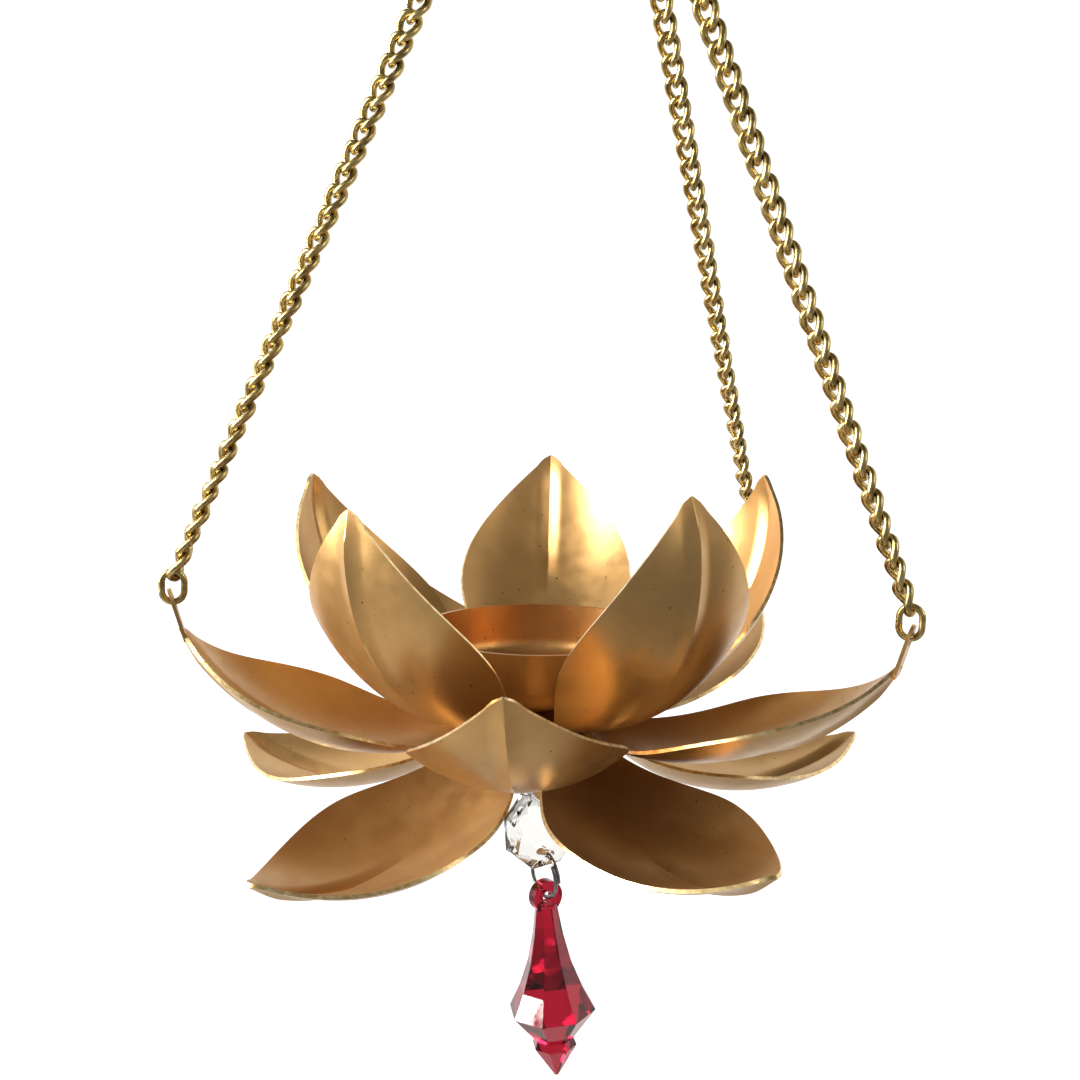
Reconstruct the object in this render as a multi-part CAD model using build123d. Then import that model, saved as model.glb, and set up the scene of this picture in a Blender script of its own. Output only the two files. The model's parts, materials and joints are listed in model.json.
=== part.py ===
from build123d import *
import os
from math import asin, atan2, cos, degrees, exp, pi, radians, sin, sqrt

# Small hanging lotus candle lamp, in millimetres, +Z up.
# The origin is the point on the S-hook that bears on whatever holds the lamp up.
# The flower is built in its own frame: Z is the flower's axis and z = 0 is the hub plane,
# where the petals of all three tiers start. It hangs below the chains' meeting point.

# ---- driving dimensions ------------------------------------------------------------------
SHEET = 0.6                 # petal and cup sheet
PETAL_LENGTH = 60.5         # along the petal's midrib
PETAL_HALF_WIDTH = 18.2     # at the widest place
WIDEST_AT = 0.48            # share of the length
ROOT_SHARE = 0.27           # root width over the widest width
NECK = 1.15                 # slows the outline's swelling near the root
TIP_EXPONENT = 0.92         # fullness of the outline towards the tip
DISH_RADIUS = 26.4          # cross-section arc of a petal
ROOT_DISH_RADIUS = 150      # the same arc at the bend, nearly flat
TURN = 92                   # degrees that a petal curls up from root to tip
ROOT_RADIUS = 10.1          # where the petals leave the hub
ROOT_OVERLAP = 0.35         # how far a petal runs back into the hub
HUB_SHEET = 0.76
HUB_HOLE = 1.7
HUB_HEIGHTS = {"upper": 0.8, "middle": -0.12, "lower": -1.8}
LOWER_HUB_TRIM = 11.0       # corners cut to this radius, clear of the middle petals
TIER_WASHER = 0.8           # thickness, between the middle and lower hubs

CUP_RADIUS = 21.4
CUP_RIM = 15.7
CUP_FLOOR = 5.7
CUP_CORNER = 3.5

HEAD_RADIUS = 3.0           # centre screw
HEAD_HEIGHT = 1.3
SHANK_RADIUS = 1.5
SPACER_RADIUS = 3.6         # between the cup and the hubs
WASHER = 0.6                # lower washer's thickness
WASHER_RADIUS = 4.2
TIER_WASHER_RADIUS = 5.0
NUT = 2.2                   # height of the eye nut's hexagon
NUT_RADIUS = 3.1            # across corners
EYE_RADIUS = 2.3            # wire centre line
EYE_WIRE = 1.2
GAP = 0.01                  # between faces that bear on each other

TONGUE_WIDTH = 4.6          # tab at the tip of a petal that takes a chain
TONGUE_LENGTH = 6.7
TONGUE_BACK = 2.4           # how far it runs back over the petal
TONGUE_SHEET = 0.7
TONGUE_SLOPE = 74           # degrees above the horizontal
TONGUE_HOLE = 1.3
TONGUE_HOLE_AT = 4.5        # from the petal's tip

APEX = Vector(5.8, 0, 175)  # where the chains meet, in the flower's frame
CHAIN_WIRE = 1.1
CHAIN_WIDTH = 4.5
LINK_PITCH = 3.75
LINK_PLAY = 0.1
END_LINK_WIDTH = 4.7        # the wider link that passes through a petal's tongue
END_LINK_STRAIGHT = 1.5
END_LINK_TILT = 22          # degrees that it leans from the chain's line towards the tongue

RING_RADIUS = 8.0           # top ring, wire centre line
RING_WIRE = 1.3
RING_FACING = 45            # direction of the ring's plane, seen from above
CHAIN_SEATS = {"chain_left": -3.0, "chain_right": 0.0, "chain_rear": 3.6}

HOOK_WIRE = 2.2
HOOK_LOWER = 5.0            # bowl radii, wire centre line
HOOK_UPPER = 7.0
HOOK_RISE = 26.0            # between the two bowl centres

JUMP_WIRE = 0.8             # the two small rings of the pendant
BEAD_RING_RADIUS = 4.0
DROP_RING_RADIUS = 4.25
BEAD_SIZE = 14.2            # octagon, across flats
BEAD_RIM = 2.0
BEAD_THICK = 5.6
BEAD_TABLE = 6.0
BEAD_HOLE = 1.0
BEAD_HOLE_AT = 4.75         # from the bead's centre
PENDANT_LEAN = 4.0          # degrees, as it hangs
PENDANT_FACING = -55        # direction of the small rings' plane, seen from above

DROP_EYE_RADIUS = 3.0
DROP_EYE_HOLE = 1.15
DROP_EYE_THICK = 2.0
# the drop's facets: distance below the eye's centre and radius of each ring of corners
DROP_PROFILE = [(1.9, 2.1), (7.2, 2.9), (12.4, 4.1), (17.5, 6.0), (21.8, 8.2),
                (27.6, 3.7), (29.0, 4.2), (35.2, 0.4)]
DROP_SIDES = 8

# Each tier: root slope, and for each petal how far hand-bending moved it,
# as (sideways, root slope, extra curl, twist) in degrees. Names say which way it points.
TIERS = {
    "upper": (0, {90: (1, 14, -34, -1), 162: (-4, 0, -3, -3), 234: (0, -4, 10, 6),
                  306: (3, -4, 23, -6), 18: (3, -3, 12, 4)}),
    "middle": (-27, {198: (1, 0, -2, -6), 342: (-4, 1, -10, -2), 54: (-6, 0, 0, 0),
                     270: (-1, 0, 0, 5), 126: (0, 0, 0, 0)}),
    "lower": (-56, {162: (-3, 1, -8, -7), 234: (-3, -6, 4, 2),
                    306: (-1, 2, 0, 3), 18: (2, 1, 0, -3), 90: (0, 0, 0, 0)}),
}
CHAIN_PETALS = {"chain_left": 198, "chain_right": 342, "chain_rear": 54}
SPINE_STEPS = 240
SECTIONS = [0.0, 0.08, 0.18, 0.3, 0.42, 0.54, 0.66, 0.77, 0.87, 0.95, 1.0]


def direction(angle):
    """Horizontal unit vector at an angle seen from above."""
    return Vector(cos(radians(angle)), sin(radians(angle)), 0)


# ---- petals ------------------------------------------------------------------------------
def slope(share, root_slope, curl):
    """Slope of the midrib in radians, at a share of the petal's length."""
    return radians(root_slope + TURN * share**0.91 + curl * share)


def midrib(share, root_slope, curl):
    """Distance from the axis and height of the midrib at a share of its length."""
    step = share / SPINE_STEPS
    angles = [slope((i + 0.5) * step, root_slope, curl) for i in range(SPINE_STEPS)]
    out = ROOT_RADIUS + PETAL_LENGTH * step * sum(cos(a) for a in angles)
    return out, PETAL_LENGTH * step * sum(sin(a) for a in angles)


def half_width(share):
    if share < WIDEST_AT:
        swell = sin(pi / 2 * (share / WIDEST_AT) ** NECK)
        return PETAL_HALF_WIDTH * (ROOT_SHARE + (1 - ROOT_SHARE) * swell)
    taper = ((1 - share) / (1 - WIDEST_AT)) ** TIP_EXPONENT
    return max(PETAL_HALF_WIDTH * sin(pi / 2 * taper), 0.35)


def petal_section(out, height, angle, half, radius, twist):
    """Closed outline of the sheet across the petal, an arc band of the sheet's thickness."""
    across = Vector(0, cos(twist), 0) + Vector(-sin(angle), 0, cos(angle)) * sin(twist)
    inward = Vector(-sin(angle), 0, cos(angle)) * cos(twist) - Vector(0, sin(twist), 0)
    centre = Vector(out, 0, height) + inward * radius
    spread = half / radius

    def arc(r):
        return [centre + across * (r * sin(a)) - inward * (r * cos(a)) for a in (-spread, 0, spread)]

    below = arc(radius + SHEET / 2)
    above = arc(radius - SHEET / 2)
    return Wire([
        Edge.make_three_point_arc(*below),
        Edge.make_line(below[2], above[2]),
        Edge.make_three_point_arc(*reversed(above)),
        Edge.make_line(above[0], below[0]),
    ])


def petal(root_slope, curl, twist):
    """One dished petal pointing along +X. Its root is flat, and bent along a side of the hub."""
    root = radians(root_slope)
    back = (ROOT_RADIUS - ROOT_OVERLAP * cos(root), -ROOT_OVERLAP * sin(root))
    sections = [petal_section(*back, root, half_width(0), ROOT_DISH_RADIUS, 0)]
    for share in SECTIONS[1:]:
        out, height = midrib(share, root_slope, curl)
        radius = 1 / (1 / DISH_RADIUS - (1 / DISH_RADIUS - 1 / ROOT_DISH_RADIUS) * exp(-share / 0.06))
        angle = slope(share, root_slope, curl)
        sections.append(petal_section(out, height, angle, half_width(share), radius,
                                      radians(twist * share)))
    return Solid.make_loft(sections)


def tongue(root_slope, curl):
    """Narrow tab at the petal's tip, with the hole for the chain."""
    out, height = midrib(1.0, root_slope, curl)
    along = Vector(cos(radians(TONGUE_SLOPE)), 0, sin(radians(TONGUE_SLOPE)))
    plane = Plane(Vector(out, 0, height), x_dir=along, z_dir=along.cross(Vector(0, 1, 0)))
    straight = TONGUE_LENGTH - TONGUE_WIDTH / 2
    body = Pos((straight - TONGUE_BACK) / 2, 0) * Rectangle(straight + TONGUE_BACK, TONGUE_WIDTH)
    end = Pos(straight, 0) * Circle(TONGUE_WIDTH / 2)
    hole = Pos(TONGUE_HOLE_AT, 0) * Circle(TONGUE_HOLE)
    return plane * extrude(body + end - hole, TONGUE_SHEET / 2, both=True)


def petal_settings(tier, azimuth):
    root_slope, petals = TIERS[tier]
    sideways, lift, curl, twist = petals[azimuth]
    return Pos(0, 0, HUB_HEIGHTS[tier]) * Rot(0, 0, azimuth + sideways), root_slope + lift, curl, twist


def petal_tier(tier):
    """Five petals and the hub between them, stamped from one sheet."""
    petals = TIERS[tier][1]
    hub = Rot(0, 0, min(petals) + 36) * RegularPolygon(ROOT_RADIUS, 5, major_radius=False)
    if tier == "lower":
        hub = hub & Circle(LOWER_HUB_TRIM)
    sheet = Pos(0, 0, HUB_HEIGHTS[tier]) * extrude(hub - Circle(HUB_HOLE), HUB_SHEET / 2, both=True)
    for azimuth in petals:
        place, root_slope, curl, twist = petal_settings(tier, azimuth)
        sheet = sheet + place * petal(root_slope, curl, twist)
        if tier == "middle" and azimuth in CHAIN_PETALS.values():
            sheet = sheet + place * tongue(root_slope, curl)
    return sheet


def chain_hole(azimuth):
    """Centre of the hole in a chain petal's tongue, in the flower's frame."""
    place, root_slope, curl, _ = petal_settings("middle", azimuth)
    out, height = midrib(1.0, root_slope, curl)
    rise = radians(TONGUE_SLOPE)
    local = Vector(out + TONGUE_HOLE_AT * cos(rise), 0, height + TONGUE_HOLE_AT * sin(rise))
    return (place * Pos(*local)).position


# ---- cup and its fastening ---------------------------------------------------------------
def candle_cup():
    """Drawn cup with a rounded corner, and a hole in its floor for the centre screw."""
    outer = Pos(0, 0, (CUP_RIM + CUP_FLOOR) / 2) * Cylinder(CUP_RADIUS, CUP_RIM - CUP_FLOOR)
    outer = fillet(outer.edges().sort_by(Axis.Z)[0], CUP_CORNER)
    low = CUP_FLOOR + SHEET
    inner = Pos(0, 0, (CUP_RIM + 1 + low) / 2) * Cylinder(CUP_RADIUS - SHEET, CUP_RIM + 1 - low)
    inner = fillet(inner.edges().sort_by(Axis.Z)[0], CUP_CORNER - SHEET)
    return outer - inner - Pos(0, 0, CUP_FLOOR) * Cylinder(HUB_HOLE, 4)


HUB_TOP = HUB_HEIGHTS["upper"] + HUB_SHEET / 2
HUB_BOTTOM = HUB_HEIGHTS["lower"] - HUB_SHEET / 2
SCREW_TOP = CUP_FLOOR + SHEET + 2 * GAP
EYE_CENTRE = HUB_BOTTOM - WASHER - NUT - EYE_RADIUS - 0.1


def tube(outer, hole, low, high):
    body = Pos(0, 0, (low + high) / 2) * Cylinder(outer, high - low)
    return body - Pos(0, 0, (low + high) / 2) * Cylinder(hole, high - low + 1)


def centre_screw():
    """Slotted pan-head screw from the cup's floor down through the spacer and the three hubs."""
    low = HUB_BOTTOM - WASHER - NUT + 0.5
    head = Pos(0, 0, SCREW_TOP + HEAD_HEIGHT / 2) * Cylinder(HEAD_RADIUS, HEAD_HEIGHT)
    head = fillet(head.edges().sort_by(Axis.Z)[-1], 0.8)
    shank = Pos(0, 0, (SCREW_TOP + low) / 2) * Cylinder(SHANK_RADIUS, SCREW_TOP - low)
    slot = Pos(0, 0, SCREW_TOP + HEAD_HEIGHT) * Box(3 * HEAD_RADIUS, 0.8, 1.0)
    return head + shank - slot


def eye_nut():
    """Hexagon nut with a wire eye under it, screwed on the centre screw's end."""
    top = HUB_BOTTOM - WASHER - 2 * GAP
    low = HUB_BOTTOM - WASHER - NUT
    nut = Pos(0, 0, low) * extrude(RegularPolygon(NUT_RADIUS, 6), top - low)
    nut = nut - Pos(0, 0, top) * Cylinder(SHANK_RADIUS + 0.06, 2 * (NUT - 0.4))
    eye = Pos(0, 0, EYE_CENTRE) * Rot(0, 0, PENDANT_FACING + 90) * Rot(90, 0, 0) * Torus(
        EYE_RADIUS, EYE_WIRE / 2)
    return nut + eye


# ---- pendant: hangs from the eye, built plumb and then leant -------------------------------
EYE_SEAT = EYE_CENTRE - EYE_RADIUS
TOP_RING_GAP = (EYE_WIRE + JUMP_WIRE) / 2 + 0.1
BEAD_RING_Z = EYE_SEAT + TOP_RING_GAP - BEAD_RING_RADIUS
BEAD_Z = BEAD_RING_Z - BEAD_RING_RADIUS - BEAD_HOLE_AT
DROP_RING_Z = BEAD_Z - BEAD_HOLE_AT - DROP_RING_RADIUS
DROP_EYE_Z = DROP_RING_Z - DROP_RING_RADIUS


def small_ring(radius, z):
    return Pos(0, 0, z) * Rot(90, 0, 0) * Torus(radius, JUMP_WIRE / 2)


def bead():
    """Octagonal cut bead in the YZ plane, with a hole near its top and bottom flats."""
    rim = BEAD_SIZE / 2 / cos(pi / 8)
    table = BEAD_TABLE / 2 / cos(pi / 8)
    outline = Rot(0, 0, 22.5) * RegularPolygon(rim, 8)
    small = Rot(0, 0, 22.5) * RegularPolygon(table, 8)
    body = Pos(0, 0, -BEAD_RIM / 2) * extrude(outline, BEAD_RIM)
    for side in (1, -1):
        faces = [Pos(0, 0, side * BEAD_RIM / 2) * outline, Pos(0, 0, side * BEAD_THICK / 2) * small]
        body = body + loft(faces, ruled=True)
    for end in (1, -1):
        body = body - Pos(0, end * BEAD_HOLE_AT, 0) * Cylinder(BEAD_HOLE, BEAD_THICK * 2)
    return Plane((0, 0, BEAD_Z), x_dir=(0, 1, 0), z_dir=(1, 0, 0)).location * body


def red_drop():
    """Faceted drop with a flat eye at its top."""
    body = None
    for (high, r_high), (low, r_low) in zip(DROP_PROFILE, DROP_PROFILE[1:]):
        rings = [Pos(0, 0, -high) * RegularPolygon(r_high, DROP_SIDES),
                 Pos(0, 0, -low) * RegularPolygon(r_low, DROP_SIDES)]
        span = loft(rings, ruled=True)
        body = span if body is None else body + span
    eye = Rot(0, 90, 0) * (Cylinder(DROP_EYE_RADIUS, DROP_EYE_THICK) - Cylinder(DROP_EYE_HOLE, 9))
    collar = Pos(0, 0, -2.6) * Cylinder(2.0, 2.2)
    whole = body + collar + eye - Rot(0, 90, 0) * Cylinder(DROP_EYE_HOLE, 9)
    return Pos(0, 0, DROP_EYE_Z) * whole


LEAN = Pos(0, 0, EYE_SEAT) * Rot(0, -PENDANT_LEAN, 0) * Pos(0, 0, -EYE_SEAT) * Rot(0, 0, PENDANT_FACING)


# ---- heights from the hook down, and the flower's place under it ---------------------------
UPPER_Z = HOOK_WIRE / 2 - HOOK_UPPER
LOWER_Z = UPPER_Z - HOOK_RISE
HOOK_SEAT_Z = LOWER_Z - HOOK_LOWER
RING_TOP_Z = HOOK_SEAT_Z + (RING_WIRE + HOOK_WIRE) / 2 + 0.1
MEETING = Vector(0, 0, RING_TOP_Z - 2 * RING_RADIUS)
# The flower leans by a small angle, so that its weight is straight under the hook.
TILT = degrees(atan2(APEX.X, APEX.Z))
HANG = Pos(*MEETING) * Rot(0, -TILT, 0) * Pos(*(APEX * -1))


# ---- chains, top ring and hook -------------------------------------------------------------
FACING = direction(RING_FACING)


def ring_seat(along):
    """Where a chain sits on the top ring's wire, and the wire's direction there."""
    drop = RING_RADIUS - sqrt(RING_RADIUS**2 - along**2)
    point = MEETING + FACING * along + Vector(0, 0, drop)
    tilt = asin(along / RING_RADIUS)
    return point, FACING * cos(tilt) + Vector(0, 0, sin(tilt))


def link(straight, width):
    """Oval link in the XY plane, long way along X."""
    bend = (width - CHAIN_WIRE) / 2
    body = None
    for side in (1, -1):
        end = Pos(side * straight / 2, 0, 0) * Torus(bend, CHAIN_WIRE / 2)
        cut = Pos(side * straight / 2 + side * 5, 0, 0) * Box(10, 10, 10)
        half = end & cut
        bar = Pos(0, side * bend, 0) * Rot(0, 90, 0) * Cylinder(CHAIN_WIRE / 2, straight)
        body = half + bar if body is None else body + half + bar
    return body


def chain(name):
    """End link in the petal's tongue, and the links from it up to the top ring.

    Each link stands a quarter turn from the last, plus its share of the chain's twist.
    """
    hole = (HANG * Pos(*chain_hole(CHAIN_PETALS[name]))).position
    seat, wire_direction = ring_seat(CHAIN_SEATS[name])
    side = Vector(0, 0, 1).cross(seat - hole).normalized()
    lean = (seat - hole).normalized().rotate(Axis((0, 0, 0), side), -END_LINK_TILT)
    end_bend = (END_LINK_WIDTH - CHAIN_WIRE) / 2
    end_place = Plane(hole + lean * (END_LINK_STRAIGHT / 2 + end_bend), x_dir=lean, z_dir=side)
    end_link = end_place.location * link(END_LINK_STRAIGHT, END_LINK_WIDTH)
    start = hole + lean * (END_LINK_STRAIGHT + 2 * end_bend - CHAIN_WIRE - LINK_PLAY)

    line = seat - start
    up = line.normalized()
    count = round(line.length / LINK_PITCH)
    pitch = (line.length + LINK_PLAY) / count
    straight = pitch + CHAIN_WIRE + LINK_PLAY - (CHAIN_WIDTH - CHAIN_WIRE)
    first = (straight + CHAIN_WIDTH - CHAIN_WIRE) / 2
    side = Vector(0, 0, 1).cross(up).normalized()
    front = up.cross(side)
    last = degrees(atan2(wire_direction.dot(front), wire_direction.dot(side)))
    turn = (last - 90 * count + 90) % 180 - 90
    one = link(straight, CHAIN_WIDTH)
    links = []
    for i in range(count):
        angle = radians(90 * (i + 1) + turn * i / (count - 1))
        normal = side * cos(angle) + front * sin(angle)
        links.append(Plane(start + up * (first + pitch * i), x_dir=up, z_dir=normal).location * one)
    return end_link, Compound(children=links)


def top_ring():
    centre = MEETING + Vector(0, 0, RING_RADIUS)
    return Pos(*centre) * Rot(0, 0, RING_FACING) * Rot(90, 0, 0) * Torus(RING_RADIUS, RING_WIRE / 2)


def hook():
    """S-hook across the ring's plane: lower bowl nearly closed, upper bowl open to one side."""
    lower = Pos(0, LOWER_Z) * CenterArc((0, 0), HOOK_LOWER, 150, 210)
    upper = Pos(0, UPPER_Z) * CenterArc((0, 0), HOOK_UPPER, 180, -200)
    shank = Spline(lower @ 1, upper @ 0, tangents=[(0, 1), (0, 1)], tangent_scalars=[1.4, 1.4])
    path = Wire([lower, shank, upper])
    wire = sweep(Plane(path @ 0, z_dir=path % 0) * Circle(HOOK_WIRE / 2), path=path)
    sideways = direction(RING_FACING - 90)
    return Plane((0, 0, 0), x_dir=sideways, z_dir=sideways.cross(Vector(0, 0, 1))).location * wire


def placed_nodes():
    """Every node in its final place, by name."""
    spacer = tube(SPACER_RADIUS, HUB_HOLE, HUB_TOP + GAP, CUP_FLOOR - GAP)
    washer = tube(WASHER_RADIUS, HUB_HOLE, HUB_BOTTOM - WASHER, HUB_BOTTOM - GAP)
    between = HUB_HEIGHTS["lower"] + HUB_SHEET / 2 + GAP
    tier_washer = tube(TIER_WASHER_RADIUS, HUB_HOLE, between, between + TIER_WASHER)
    nodes = {f"{tier}_petals": HANG * petal_tier(tier) for tier in TIERS}
    nodes["candle_cup"] = HANG * candle_cup()
    nodes["cup_spacer"] = HANG * spacer
    nodes["tier_washer"] = HANG * tier_washer
    nodes["lower_washer"] = HANG * washer
    nodes["centre_screw"] = HANG * centre_screw()
    nodes["eye_nut"] = HANG * eye_nut()
    nodes["bead_ring"] = HANG * LEAN * small_ring(BEAD_RING_RADIUS, BEAD_RING_Z)
    nodes["clear_bead"] = HANG * LEAN * bead()
    nodes["drop_ring"] = HANG * LEAN * small_ring(DROP_RING_RADIUS, DROP_RING_Z)
    nodes["red_drop"] = HANG * LEAN * red_drop()
    for name in CHAIN_PETALS:
        nodes[name.replace("chain", "end_link")], nodes[name] = chain(name)
    nodes["top_ring"] = top_ring()
    nodes["s_hook"] = hook()
    return nodes


os.makedirs("parts", exist_ok=True)
for node, shape in placed_nodes().items():
    export_step(shape, f"parts/{node}.step")
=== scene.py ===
import json
from math import cos, exp, pi, radians, sin

import bmesh
import bpy
import numpy as np
from mathutils import Matrix, Vector


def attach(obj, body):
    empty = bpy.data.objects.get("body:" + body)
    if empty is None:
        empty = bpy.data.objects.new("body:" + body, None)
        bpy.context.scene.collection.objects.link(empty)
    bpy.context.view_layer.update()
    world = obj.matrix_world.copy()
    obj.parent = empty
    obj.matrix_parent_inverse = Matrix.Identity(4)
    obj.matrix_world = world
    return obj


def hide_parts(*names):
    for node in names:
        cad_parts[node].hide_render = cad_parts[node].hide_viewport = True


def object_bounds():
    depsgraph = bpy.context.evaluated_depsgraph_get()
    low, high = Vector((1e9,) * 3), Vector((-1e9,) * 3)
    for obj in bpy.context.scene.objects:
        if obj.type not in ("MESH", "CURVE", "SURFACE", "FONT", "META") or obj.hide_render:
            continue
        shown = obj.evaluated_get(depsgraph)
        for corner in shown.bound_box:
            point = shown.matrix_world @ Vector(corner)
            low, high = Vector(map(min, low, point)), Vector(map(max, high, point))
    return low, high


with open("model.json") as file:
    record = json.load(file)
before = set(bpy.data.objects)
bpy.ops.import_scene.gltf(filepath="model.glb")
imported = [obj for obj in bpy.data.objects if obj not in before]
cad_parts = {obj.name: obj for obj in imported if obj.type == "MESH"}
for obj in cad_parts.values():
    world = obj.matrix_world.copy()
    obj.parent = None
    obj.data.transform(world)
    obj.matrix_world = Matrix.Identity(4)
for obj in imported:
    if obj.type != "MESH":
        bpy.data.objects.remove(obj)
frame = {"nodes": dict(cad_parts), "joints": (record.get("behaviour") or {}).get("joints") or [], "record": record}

CAD_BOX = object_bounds()
MM = 0.001

# ---- the flower's own frame, found from the cup's mount ------------------------------------
CUP_MOUNT_HEIGHT = 12.45 * MM         # of the mount's point above the hub plane
CUP = next(m for m in frame["record"]["mounts"] if m["name"] == "candle_cup")
AXIS = Vector(CUP["axis"]).normalized()
SIDE = Vector((0, 1, 0))
RIGHT = SIDE.cross(AXIS).normalized()
ORIGIN = Vector(CUP["pos_m"]) - AXIS * CUP_MOUNT_HEIGHT
FLOWER = Matrix.Translation(ORIGIN) @ Matrix((RIGHT, SIDE, AXIS)).transposed().to_4x4()

# ---- driving dimensions in millimetres -----------------------------------------------------
# Petals, hubs and tongues repeat the CAD model's values. Creases, rounded tips and the chain's
# thicker twisted wire are only here. Petal sizes are rounded from a least-squares fit.
SHEET = 0.6
PETAL_LENGTH = 60.5
PETAL_HALF_WIDTH = 18.2
WIDEST_AT = 0.48
ROOT_SHARE = 0.27
NECK = 1.15                           # slows the outline's swelling near the root
TIP_EXPONENT = 0.92
TIP_ROUND_FROM = 0.955
TIP_ROUND_HALF = 2.95
DISH_RADIUS = 26.4
ROOT_DISH_RADIUS = 150
TURN = 92
ROOT_RADIUS = 10.1
HUB_HOLE = 1.7
HUB_HEIGHTS = {"upper": 0.8, "middle": -0.12, "lower": -1.8}
CREASE_DEPTH = 0.95
CREASE_HALF_WIDTH = 2.6
TONGUE_WIDTH = 4.6
TONGUE_BACK = 2.2
TONGUE_SLOPE = 74
TONGUE_HOLE = 1.3
TONGUE_HOLE_AT = 4.5
CHAIN_WIRE = 1.3
CHAIN_WIDTH = 4.6
LINK_PITCH = 3.75
LINK_TWIST = 48                       # degrees each way from the link's middle
SPLIT_WIRE = 0.36                     # split ring: wire radius, turns, and where it starts
SPLIT_TURNS = 1.12
SPLIT_START = 0.6
BEAD_SIZE = 14.2
BEAD_RIM = 2.0
BEAD_THICK = 5.6
BEAD_STAR = 0.74                      # star ring's radius and height, as shares of the bead's
BEAD_STAR_HEIGHT = 0.8
BEAD_TABLE = 0.42                     # table's radius, as a share
BEAD_HOLE = 1.0
BEAD_HOLE_AT = 4.75

# root slope of each tier, and for each petal its sideways turn, slope, curl and twist,
# in degrees, rounded from the same fit (the petals at 126 and 90 lower are unfitted)
TIERS = {
    "upper": (0, {90: (1, 14, -34, -1), 162: (-4, 0, -3, -3), 234: (0, -4, 10, 6),
                  306: (3, -4, 23, -6), 18: (3, -3, 12, 4)}),
    "middle": (-27, {198: (1, 0, -2, -6), 342: (-4, 1, -10, -2), 54: (-6, 0, 0, 0),
                     270: (-1, 0, 0, 5), 126: (0, 0, 0, 0)}),
    "lower": (-56, {162: (-3, 1, -8, -7), 234: (-3, -6, 4, 2),
                    306: (-1, 2, 0, 3), 18: (2, 1, 0, -3), 90: (0, 0, 0, 0)}),
}
CHAIN_PETALS = (198, 342, 54)
ALONG = 72                            # mesh steps along a petal
ACROSS = 44                           # and across it


# ---- camera --------------------------------------------------------------------------------
# millimetres and degrees in the flower's frame, from the same fit
CAMERA_PLACE = Vector((13.87, -234.3, 67.3)) * MM
CAMERA_YAW = radians(3.38)
CAMERA_DOWN = radians(8.68)
CAMERA_ROLL = radians(0.6)
CAMERA_LENS = 44.9


def make_camera():
    """The photograph's viewpoint, held in the flower's frame."""
    ahead = Vector((-sin(CAMERA_YAW), cos(CAMERA_YAW), 0))
    right = Vector((cos(CAMERA_YAW), sin(CAMERA_YAW), 0))
    up_axis = Vector((0, 0, 1))
    forward = ahead * cos(CAMERA_DOWN) - up_axis * sin(CAMERA_DOWN)
    up = ahead * sin(CAMERA_DOWN) + up_axis * cos(CAMERA_DOWN)
    image_right = right * cos(CAMERA_ROLL) + up * sin(CAMERA_ROLL)
    image_up = up * cos(CAMERA_ROLL) - right * sin(CAMERA_ROLL)
    turn = Matrix((image_right, image_up, -forward)).transposed().to_4x4()
    camera = bpy.data.objects.new("camera", bpy.data.cameras.new("camera"))
    camera.data.lens = CAMERA_LENS
    camera.data.clip_start = 0.01
    camera.matrix_world = FLOWER @ Matrix.Translation(CAMERA_PLACE) @ turn
    bpy.context.scene.collection.objects.link(camera)
    bpy.context.scene.camera = camera


# ---- materials -----------------------------------------------------------------------------
class Nodes:
    """A material's node tree, with short calls for the nodes that are used here."""

    def __init__(self, name):
        self.material = bpy.data.materials.new(name)
        self.material.use_nodes = True
        self.tree = self.material.node_tree
        self.shader = self.tree.nodes["Principled BSDF"]
        self.place = self.add("ShaderNodeTexCoord").outputs["Object"]

    def add(self, kind, **settings):
        node = self.tree.nodes.new(kind)
        for key, value in settings.items():
            setattr(node, key, value)
        return node

    def link(self, source, target):
        self.tree.links.new(source, target)

    def set(self, **values):
        for key, value in values.items():
            self.shader.inputs[key.replace("_", " ")].default_value = value

    def noise(self, scale, detail=3.0, rough=0.55, stretch=None):
        node = self.add("ShaderNodeTexNoise")
        node.inputs["Scale"].default_value = scale
        node.inputs["Detail"].default_value = detail
        node.inputs["Roughness"].default_value = rough
        source = self.place
        if stretch:
            mapping = self.add("ShaderNodeMapping")
            mapping.inputs["Scale"].default_value = stretch
            self.link(self.place, mapping.inputs["Vector"])
            source = mapping.outputs["Vector"]
        self.link(source, node.inputs["Vector"])
        return node.outputs["Fac"]

    def ramp(self, source, *stops):
        node = self.add("ShaderNodeValToRGB")
        elements = node.color_ramp.elements
        while len(elements) < len(stops):
            elements.new(0.5)
        for element, (place, colour) in zip(elements, stops):
            element.position = place
            element.color = (*colour, 1)
        self.link(source, node.inputs["Fac"])
        return node.outputs["Color"]

    def span(self, source, low, high, start=0.3, stop=0.7):
        node = self.add("ShaderNodeMapRange")
        for key, value in (("From Min", start), ("From Max", stop), ("To Min", low), ("To Max", high)):
            node.inputs[key].default_value = value
        self.link(source, node.inputs["Value"])
        return node.outputs["Result"]

    def mix(self, factor, a, b, blend="MIX"):
        node = self.add("ShaderNodeMix", data_type="RGBA", blend_type=blend)
        self.link(factor, node.inputs["Factor"])
        self.link(a, node.inputs["A"])
        self.link(b, node.inputs["B"])
        return node.outputs["Result"]

    def bump(self, height, strength, distance):
        node = self.add("ShaderNodeBump")
        node.inputs["Strength"].default_value = strength
        node.inputs["Distance"].default_value = distance
        self.link(height, node.inputs["Height"])
        self.link(node.outputs["Normal"], self.shader.inputs["Normal"])


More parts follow.
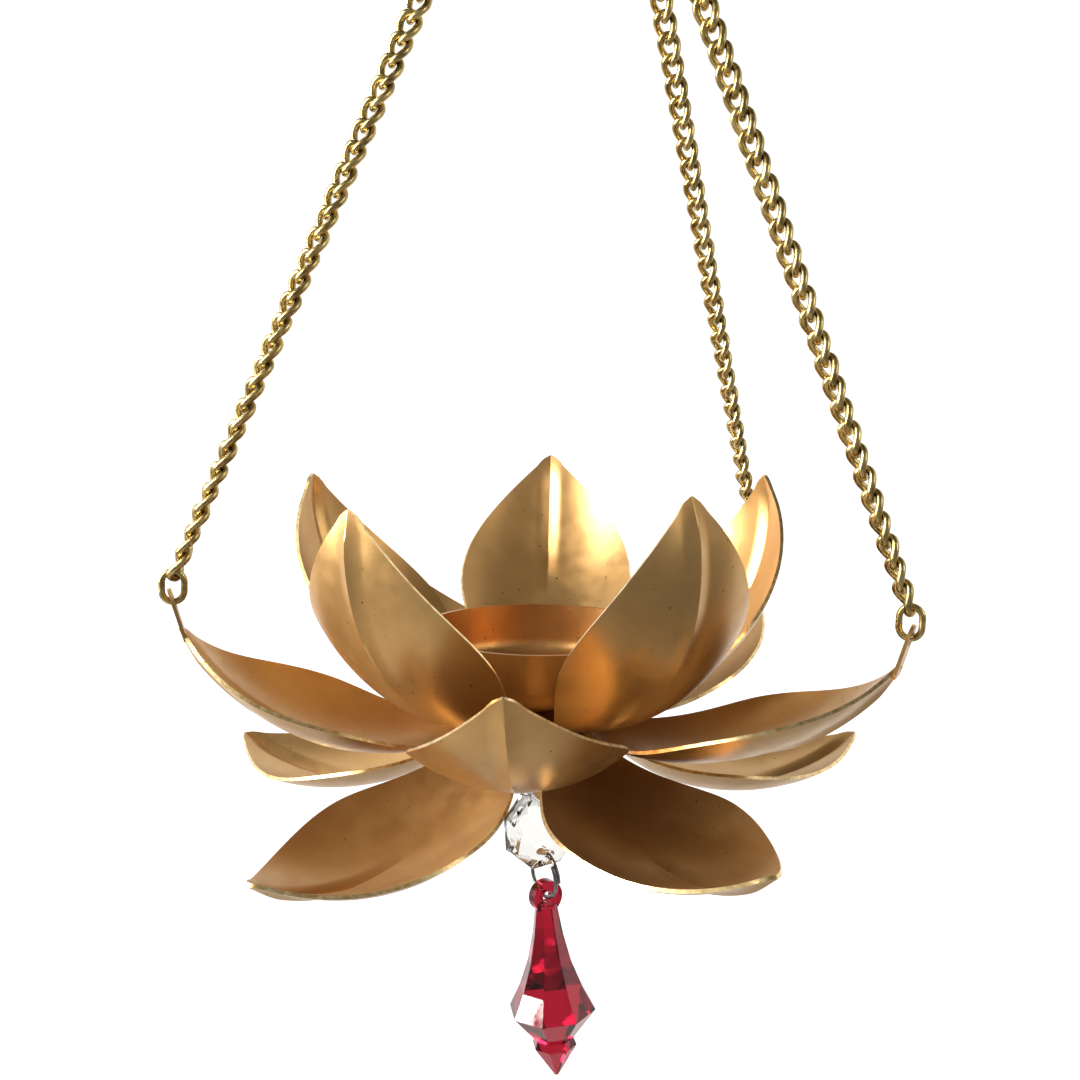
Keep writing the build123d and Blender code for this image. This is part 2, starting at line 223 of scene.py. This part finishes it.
def gold_paint(name, light, dark, scuff):
    """Satin gold paint: soft mottling, fine orange peel and a few dark specks."""
    n = Nodes(name)
    tone = n.ramp(n.noise(55, 4), (0.3, dark), (0.72, light))
    speck = n.noise(1400, 1, 0.4)
    specks = n.ramp(speck, (0.2, (1, 1, 1)), (0.235, (0, 0, 0)))
    speck_colour = n.ramp(speck, (0.0, scuff), (1.0, scuff))
    n.link(n.mix(specks, tone, speck_colour), n.shader.inputs["Base Color"])
    n.link(n.span(n.noise(240, 4), 0.3, 0.42), n.shader.inputs["Roughness"])
    n.set(Metallic=0.86, Specular_IOR_Level=0.5)
    n.bump(n.noise(2600, 3), 0.12, 0.00008)
    return n.material


def cut_edge():
    """Bare bright brass-coloured edge where the sheet was cut."""
    n = Nodes("cut_edge")
    n.link(n.ramp(n.noise(900, 2), (0.3, (0.55, 0.36, 0.13)), (0.7, (0.95, 0.76, 0.42))),
           n.shader.inputs["Base Color"])
    n.set(Metallic=1.0, Roughness=0.3)
    n.bump(n.noise(3000, 2), 0.2, 0.00005)
    return n.material


def brass(name, light, dark, low, high):
    """Antique brass plating, darker where it is less rubbed."""
    n = Nodes(name)
    n.link(n.ramp(n.noise(420, 4), (0.32, dark), (0.62, light)), n.shader.inputs["Base Color"])
    n.link(n.span(n.noise(900, 3), low, high), n.shader.inputs["Roughness"])
    n.set(Metallic=1.0)
    n.bump(n.noise(2200, 3), 0.15, 0.00006)
    return n.material


def steel(name, light, dark, low, high):
    n = Nodes(name)
    n.link(n.ramp(n.noise(700, 3), (0.3, dark), (0.7, light)), n.shader.inputs["Base Color"])
    n.link(n.span(n.noise(1500, 3), low, high), n.shader.inputs["Roughness"])
    n.set(Metallic=1.0)
    n.bump(n.noise(3000, 2, stretch=(1, 1, 0.2)), 0.15, 0.00004)
    return n.material


def crystal(name, colour, ior, low, high):
    """Clear or tinted facets, with a slight haze from handling."""
    n = Nodes(name)
    n.set(Base_Color=(*colour, 1), IOR=ior, Transmission_Weight=1.0)
    n.link(n.span(n.noise(600, 3), low, high), n.shader.inputs["Roughness"])
    n.bump(n.noise(900, 2), 0.05, 0.00005)
    return n.material


GOLD = gold_paint("gold_sheet_paint", (0.56, 0.345, 0.135), (0.44, 0.245, 0.085), (0.12, 0.06, 0.02))
CUP_GOLD = gold_paint("gold_cup_paint", (0.54, 0.29, 0.105), (0.44, 0.215, 0.065), (0.12, 0.06, 0.02))
EDGE = cut_edge()
BRASS = brass("chain_brass", (0.6, 0.46, 0.19), (0.24, 0.17, 0.06), 0.2, 0.38)
ZINC = steel("zinc_plate", (0.68, 0.68, 0.67), (0.46, 0.46, 0.46), 0.25, 0.42)
DARK_STEEL = steel("dark_wire", (0.34, 0.34, 0.34), (0.16, 0.16, 0.16), 0.2, 0.35)
CLEAR = crystal("clear_crystal", (0.84, 0.83, 0.8), 1.56, 0.02, 0.08)
RUBY = crystal("ruby_acrylic", (0.3, 0.004, 0.018), 1.49, 0.03, 0.12)


def dress(obj, *materials):
    obj.data.materials.clear()
    for material in materials:
        obj.data.materials.append(material)


# ---- making and keeping pieces ---------------------------------------------------------------
def new_object(name, mesh):
    obj = bpy.data.objects.new(name, mesh)
    bpy.context.scene.collection.objects.link(obj)
    return obj


def apply_modifiers(obj):
    graph = bpy.context.evaluated_depsgraph_get()
    mesh = bpy.data.meshes.new_from_object(obj.evaluated_get(graph))
    obj.modifiers.clear()
    obj.data = mesh


def keep(obj, body, slot, node, *materials):
    """Materials, body, slot (not used) and the CAD node that the piece stands for."""
    if materials:
        dress(obj, *materials)
    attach(obj, body)
    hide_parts(node)


def smooth(mesh, angle=35):
    mesh.shade_smooth()
    mesh.set_sharp_from_angle(angle=radians(angle))


# ---- petals ----------------------------------------------------------------------------------
def slope(share, root_slope, curl):
    return radians(root_slope + TURN * max(share, 0) ** 0.91 + curl * share)


def midrib_points(root_slope, curl):
    """Distance out and height of the midrib at each step along the petal."""
    out, height = ROOT_RADIUS, 0.0
    points = [(out, height)]
    fine = 4
    step = PETAL_LENGTH / (ALONG * fine)
    for i in range(ALONG * fine):
        angle = slope((i + 0.5) / (ALONG * fine), root_slope, curl)
        out += step * cos(angle)
        height += step * sin(angle)
        if (i + 1) % fine == 0:
            points.append((out, height))
    return points


def half_width(share):
    if share < WIDEST_AT:
        swell = sin(pi / 2 * (share / WIDEST_AT) ** NECK)
        return PETAL_HALF_WIDTH * (ROOT_SHARE + (1 - ROOT_SHARE) * swell)
    taper = ((1 - share) / (1 - WIDEST_AT)) ** TIP_EXPONENT
    half = PETAL_HALF_WIDTH * sin(pi / 2 * taper)
    if share > TIP_ROUND_FROM:
        left = max((1 - share) / (1 - TIP_ROUND_FROM), 0.0)
        half = max(half, TIP_ROUND_HALF * left**0.6, 0.12)
    return half


def ease(value):
    value = min(max(value, 0.0), 1.0)
    return value * value * (3 - 2 * value)


def crease(share, sideways):
    """Stamped midrib: a sharp groove on the inner side, from the tip to about mid-length."""
    depth = CREASE_DEPTH * ease((share - 0.42) / 0.3) * (1 - 0.6 * ease((share - 0.88) / 0.12))
    return -depth * max(1 - abs(sideways) / CREASE_HALF_WIDTH, 0) ** 1.6


def petal_rows(tier, azimuth):
    """Rows of points from the root to the tip, in the flower's frame, in millimetres."""
    root_slope, petals = TIERS[tier]
    sideways, lift, curl, twist = petals[azimuth]
    root_slope += lift
    turn = Matrix.Rotation(radians(azimuth + sideways), 4, "Z")
    rows = []
    for i, (out, height) in enumerate(midrib_points(root_slope, curl)):
        share = i / ALONG
        angle = slope(share, root_slope, curl)
        flat = (1 / DISH_RADIUS - 1 / ROOT_DISH_RADIUS) * exp(-share / 0.06)
        radius = 1 / (1 / DISH_RADIUS - flat)
        half = half_width(share)
        swing = radians(twist * share)
        row = []
        for j in range(ACROSS + 1):
            t = 2 * j / ACROSS - 1
            u = half * (0.5 * t + 0.5 * t**3)
            across = sin(u / radius) * radius
            inward = (1 - cos(u / radius)) * radius + crease(share, u)
            inward += 0.12 * sin(share * 9 + azimuth) * sin(u * 0.21 + azimuth * 1.7)
            side = across * cos(swing) - inward * sin(swing)
            rise = across * sin(swing) + inward * cos(swing)
            point = Vector((out - sin(angle) * rise, side, height + cos(angle) * rise))
            row.append(turn @ point)
        rows.append(row)
    return rows


def tongue(bm, azimuth):
    """Flat strip past a chain petal's tip, with a rounded end and the hole for the chain."""
    root_slope, petals = TIERS["middle"]
    sideways, lift, curl, _ = petals[azimuth]
    out, height = midrib_points(root_slope + lift, curl)[-1]
    rise = radians(TONGUE_SLOPE)
    along = Vector((cos(rise), 0, sin(rise)))
    normal = Vector((-sin(rise), 0, cos(rise)))
    tip = Vector((out, 0, height))
    turn = Matrix.Rotation(radians(azimuth + sideways), 4, "Z")
    half = TONGUE_WIDTH / 2
    steps = 64
    loops = []
    for side, inner in ((1, False), (1, True), (-1, True), (-1, False)):
        loop = []
        for k in range(steps):
            a = 2 * pi * k / steps
            reach = half
            if cos(a) < 0:
                back = (TONGUE_HOLE_AT + TONGUE_BACK) / max(-cos(a), 1e-6)
                reach = min(half / max(abs(sin(a)), 1e-6), back)
            if inner:
                reach = TONGUE_HOLE
            point = (tip + along * (TONGUE_HOLE_AT + reach * cos(a)) + Vector((0, reach * sin(a), 0))
                     + normal * (side * SHEET / 2))
            point = turn @ point + Vector((0, 0, HUB_HEIGHTS["middle"]))
            loop.append(bm.verts.new(FLOWER @ (point * MM)))
        loops.append(loop)
    for i, loop in enumerate(loops):
        other = loops[(i + 1) % 4]
        for k in range(steps):
            following = (k + 1) % steps
            bm.faces.new((loop[k], other[k], other[following], loop[following]))


def petal_tier(tier):
    """Five petals and their hub as one sheet, thickened."""
    bm = bmesh.new()
    lift = Vector((0, 0, HUB_HEIGHTS[tier]))
    roots = []
    for azimuth in sorted(TIERS[tier][1]):
        rows = petal_rows(tier, azimuth)
        grid = [[bm.verts.new(FLOWER @ ((p + lift) * MM)) for p in row] for row in rows]
        for a, b in zip(grid, grid[1:]):
            for j in range(ACROSS):
                bm.faces.new((a[j], b[j], b[j + 1], a[j + 1]))
        roots.extend(zip(grid[0], rows[0]))
    rings = [[vert for vert, _ in roots]]
    for share in (0.66, 0.33, 0.0):
        ring = []
        for _, point in roots:
            flat = Vector((point.x, point.y, 0))
            inner = flat.normalized() * HUB_HOLE
            ring.append(bm.verts.new(FLOWER @ ((inner.lerp(flat, share) + lift) * MM)))
        rings.append(ring)
    count = len(roots)
    for outer, inner in zip(rings, rings[1:]):
        for k in range(count):
            following = (k + 1) % count
            bm.faces.new((inner[k], outer[k], outer[following], inner[following]))
    bmesh.ops.recalc_face_normals(bm, faces=bm.faces)
    mesh = bpy.data.meshes.new(f"{tier}_petal_sheet")
    bm.to_mesh(mesh)
    bm.free()
    obj = new_object(f"{tier}_petal_sheet", mesh)
    dress(obj, GOLD, EDGE)
    thick = obj.modifiers.new("thickness", "SOLIDIFY")
    thick.thickness = SHEET * MM
    thick.offset = 0
    thick.use_even_offset = True
    thick.material_offset_rim = 1
    apply_modifiers(obj)
    if tier == "middle":
        bm = bmesh.new()
        bm.from_mesh(obj.data)
        for azimuth in CHAIN_PETALS:
            tongue(bm, azimuth)
        bm.to_mesh(obj.data)
        bm.free()
    smooth(obj.data, 50)
    keep(obj, "lamp", "gold_sheet", f"{tier}_petals")


# ---- tubes: chain links and rings --------------------------------------------------------------
def add_tube(bm, points, radius, sides=10, closed=True):
    """Round tube along a line of points, with its frame carried along without twisting."""
    count = len(points)
    tangents = []
    for i in range(count):
        ahead = points[(i + 1) % count] if closed else points[min(i + 1, count - 1)]
        behind = points[i - 1] if closed else points[max(i - 1, 0)]
        tangents.append((ahead - behind).normalized())
    normal = tangents[0].orthogonal().normalized()
    normals = []
    for tangent in tangents:
        normal = (normal - tangent * normal.dot(tangent)).normalized()
        normals.append(normal.copy())
    spare = 0.0
    if closed:
        final = (normals[-1] - tangents[0] * normals[-1].dot(tangents[0])).normalized()
        spare = final.angle(normals[0])
        if final.cross(normals[0]).dot(tangents[0]) < 0:
            spare = -spare
    rings = []
    for i, (point, tangent, across) in enumerate(zip(points, tangents, normals)):
        across = Matrix.Rotation(spare * i / count, 3, tangent) @ across
        other = tangent.cross(across)
        ring = [bm.verts.new(point + (across * cos(2 * pi * k / sides)
                                      + other * sin(2 * pi * k / sides)) * radius)
                for k in range(sides)]
        rings.append(ring)
    last = count if closed else count - 1
    for i in range(last):
        a, b = rings[i], rings[(i + 1) % count]
        for k in range(sides):
            bm.faces.new((a[k], a[(k + 1) % sides], b[(k + 1) % sides], b[k]))
    if not closed:
        bm.faces.new(list(reversed(rings[0])))
        bm.faces.new(rings[-1])


def curb_link(length):
    """Points of one twisted link, long way along X and lying in the XY plane, in metres."""
    bend = (CHAIN_WIDTH - CHAIN_WIRE) / 2
    straight = length / 2 - CHAIN_WIRE / 2 - bend
    points = []
    steps = 32
    for i in range(steps):
        a = 2 * pi * i / steps
        x = (bend + straight) * cos(a) * (1 + 0.12 * sin(a) ** 2)
        y = bend * sin(a) * (1 + 0.1 * cos(a) ** 2)
        turn = radians(LINK_TWIST) * x / (bend + straight)
        points.append(Vector((x, y * cos(turn), y * sin(turn))) * MM)
    return points


def line_through(node):
    """End points of the straight run of links in a CAD node."""
    mesh = frame["nodes"][node].data
    points = np.zeros(len(mesh.vertices) * 3)
    mesh.vertices.foreach_get("co", points)
    points = points.reshape(-1, 3)
    centre = points.mean(0)
    along = np.linalg.svd(points - centre, full_matrices=False)[2][0]
    if along[2] < 0:
        along = -along
    reach = (points - centre) @ along
    return Vector(centre + along * reach.min()), Vector(centre + along * reach.max())


def curb_chain(name, face_top, face_bottom):
    """Curb chain along the CAD chain's line, turning from one facing to another."""
    low, high = line_through(name)
    along = (high - low).normalized()
    pitch = LINK_PITCH * MM
    length = LINK_PITCH + 2 * CHAIN_WIRE + 0.05
    run = (high - low).length - length * MM
    count = round(run / pitch) + 1
    side = along.cross(Vector((0, 1, 0))).normalized()
    front = side.cross(along)
    bm = bmesh.new()
    points = curb_link(length)
    for i in range(count):
        share = i / (count - 1)
        facing = radians(face_bottom + (face_top - face_bottom) * share)
        wobble = radians(4) * sin(i * 2.4)
        across = side * cos(facing + wobble) + front * sin(facing + wobble)
        place = Matrix((along, across, along.cross(across))).transposed()
        centre = low + along * (length / 2 * MM + run * share)
        add_tube(bm, [centre + place @ p for p in points], CHAIN_WIRE / 2 * MM)
    mesh = bpy.data.meshes.new(f"{name}_links")
    bm.to_mesh(mesh)
    bm.free()
    smooth(mesh, 80)
    keep(new_object(f"{name}_links", mesh), "lamp", "antique_brass", name, BRASS)


# ---- pendant -----------------------------------------------------------------------------------
def split_ring():
    """Dark wire ring whose ends lie side by side for a short way."""
    node = frame["nodes"]["drop_ring"]
    points = np.array([v.co for v in node.data.vertices])
    centre = Vector(points.mean(0))
    normal = Vector(np.linalg.svd(points - np.array(centre), full_matrices=False)[2][2])
    reach = max((Vector(p) - centre).length for p in points)
    radius = reach - 0.4 * MM
    first = normal.orthogonal().normalized()
    second = normal.cross(first)
    steps = 84
    line = []
    for i in range(steps + 1):
        a = 2 * pi * SPLIT_TURNS * i / steps + SPLIT_START
        offset = (i / steps - 0.5) * 2 * SPLIT_WIRE * MM
        line.append(centre + (first * cos(a) + second * sin(a)) * radius + normal * offset)
    bm = bmesh.new()
    add_tube(bm, line, SPLIT_WIRE * MM, closed=False)
    mesh = bpy.data.meshes.new("split_ring")
    bm.to_mesh(mesh)
    bm.free()
    smooth(mesh, 60)
    keep(new_object("split_ring", mesh), "lower_link", "dark_steel", "drop_ring", DARK_STEEL)


def cut_bead():
    """Octagonal bead with a table, star facets and rim facets on each side, and two holes."""
    joints = {j["name"]: j for j in frame["joints"]}
    top, bottom = (Vector(joints[n]["pos_m"]) for n in ("bead_swing", "lower_link_swing"))
    centre = (top + bottom) / 2
    through = Vector(joints["bead_swing"]["axis"]).normalized()
    upward = (top - bottom).normalized()
    place = Matrix((upward.cross(through), upward, through)).transposed().to_4x4()
    place = Matrix.Translation(centre) @ place
    size = BEAD_SIZE / 2 / cos(pi / 8)
    rings = [(size, 22.5, BEAD_RIM / 2), (size * BEAD_STAR, 0, BEAD_THICK / 2 * BEAD_STAR_HEIGHT),
             (size * BEAD_TABLE, 22.5, BEAD_THICK / 2)]
    bm = bmesh.new()
    for radius, start, height in rings:
        for side in (1, -1):
            for k in range(8):
                a = radians(start + 45 * k)
                bm.verts.new(Vector((radius * cos(a), radius * sin(a), side * height)) * MM)
    bmesh.ops.convex_hull(bm, input=bm.verts)
    bmesh.ops.dissolve_limit(bm, angle_limit=radians(1), verts=bm.verts, edges=bm.edges)
    mesh = bpy.data.meshes.new("cut_bead")
    bm.to_mesh(mesh)
    bm.free()
    bead = new_object("cut_bead", mesh)
    for end in (1, -1):
        bm = bmesh.new()
        bmesh.ops.create_cone(bm, cap_ends=True, segments=28, radius1=BEAD_HOLE * MM,
                              radius2=BEAD_HOLE * MM, depth=12 * MM)
        drill_mesh = bpy.data.meshes.new("drill")
        bm.to_mesh(drill_mesh)
        bm.free()
        drill = new_object("drill", drill_mesh)
        drill.location = Vector((0, end * BEAD_HOLE_AT, 0)) * MM
        cut = bead.modifiers.new("hole", "BOOLEAN")
        cut.operation = "DIFFERENCE"
        cut.solver = "EXACT"
        cut.object = drill
        bpy.context.view_layer.update()
        apply_modifiers(bead)
        bpy.data.objects.remove(drill)
    bead.data.transform(place)
    keep(bead, "bead", "clear_crystal", "clear_bead", CLEAR)


# ---- studio ------------------------------------------------------------------------------------
FLOOR_DROP = 0.36                     # floor below the lamp, and the rest of the bowl, in metres
FLOOR_RADIUS = 2.0
FLOOR_BEND = 0.8
WALL_HEIGHT = 4.0


def area_light(name, place, target, size, power, colour):
    light = bpy.data.lights.new(name, "AREA")
    light.shape = "RECTANGLE"
    light.size, light.size_y = size
    light.energy = power
    light.color = colour
    obj = new_object(name, light)
    turn = (Vector(target) - Vector(place)).to_track_quat("-Z", "Y")
    obj.matrix_world = Matrix.Translation(place) @ turn.to_matrix().to_4x4()


def pale_floor():
    """Round grey floor that curves up into a wall all round and glows white behind the lamp."""
    base = CAD_BOX[0][2] - FLOOR_DROP
    line = [(0.0, base), (FLOOR_RADIUS, base)]
    line += [(FLOOR_RADIUS + FLOOR_BEND * sin(radians(a)), base + FLOOR_BEND * (1 - cos(radians(a))))
             for a in range(5, 91, 5)]
    line.append((FLOOR_RADIUS + FLOOR_BEND, base + WALL_HEIGHT))
    bm = bmesh.new()
    profile = [bm.verts.new((r, 0, z)) for r, z in line]
    edges = [bm.edges.new(pair) for pair in zip(profile, profile[1:])]
    bmesh.ops.spin(bm, geom=profile + edges, axis=(0, 0, 1), angle=2 * pi, steps=72)
    bmesh.ops.remove_doubles(bm, verts=bm.verts, dist=0.0001)
    mesh = bpy.data.meshes.new("floor")
    bm.to_mesh(mesh)
    bm.free()
    mesh.shade_smooth()
    floor = new_object("floor", mesh)
    n = Nodes("pale_floor")
    n.set(Base_Color=(0.42, 0.42, 0.42, 1), Roughness=0.8, Emission_Color=(1, 1, 1, 1))
    split = n.add("ShaderNodeSeparateXYZ")
    n.link(n.place, split.inputs[0])
    n.link(n.span(split.outputs["Y"], 0.04, 0.92, 0.3, 0.6), n.shader.inputs["Emission Strength"])
    dress(floor, n.material)


def studio():
    pale_floor()
    world = bpy.data.worlds.new("studio")
    world.use_nodes = True
    background = world.node_tree.nodes["Background"]
    background.inputs["Color"].default_value = (1, 0.98, 0.95, 1)
    background.inputs["Strength"].default_value = 0.13
    scene = bpy.context.scene
    scene.world = world
    scene.view_settings.view_transform = "Standard"
    flower = ORIGIN + AXIS * 0.01
    area_light("key", flower + Vector((-0.48, -0.24, 0.34)), flower, (0.2, 0.26), 5.5, (1, 0.98, 0.94))
    area_light("side", flower + Vector((-0.54, -0.15, 0.1)), flower, (0.16, 0.22), 7, (1, 0.97, 0.9))
    area_light("fill", flower + Vector((0.5, -0.25, 0.3)), flower, (0.2, 0.3), 0.7, (1, 0.97, 0.93))


# ---- assembly ------------------------------------------------------------------------------------
make_camera()
studio()
petal_tier("upper")
petal_tier("middle")
petal_tier("lower")
curb_chain("chain_left", 0, 75)
curb_chain("chain_right", 10, 80)
curb_chain("chain_rear", 10, 80)
split_ring()
cut_bead()

for node_name, finish in {
    "candle_cup": CUP_GOLD, "cup_spacer": CUP_GOLD,
    "tier_washer": ZINC, "lower_washer": ZINC, "centre_screw": ZINC, "eye_nut": ZINC,
    "bead_ring": DARK_STEEL, "red_drop": RUBY,
    "end_link_left": BRASS, "end_link_right": BRASS, "end_link_rear": BRASS,
    "top_ring": BRASS, "s_hook": BRASS,
}.items():
    dress(frame["nodes"][node_name], finish)
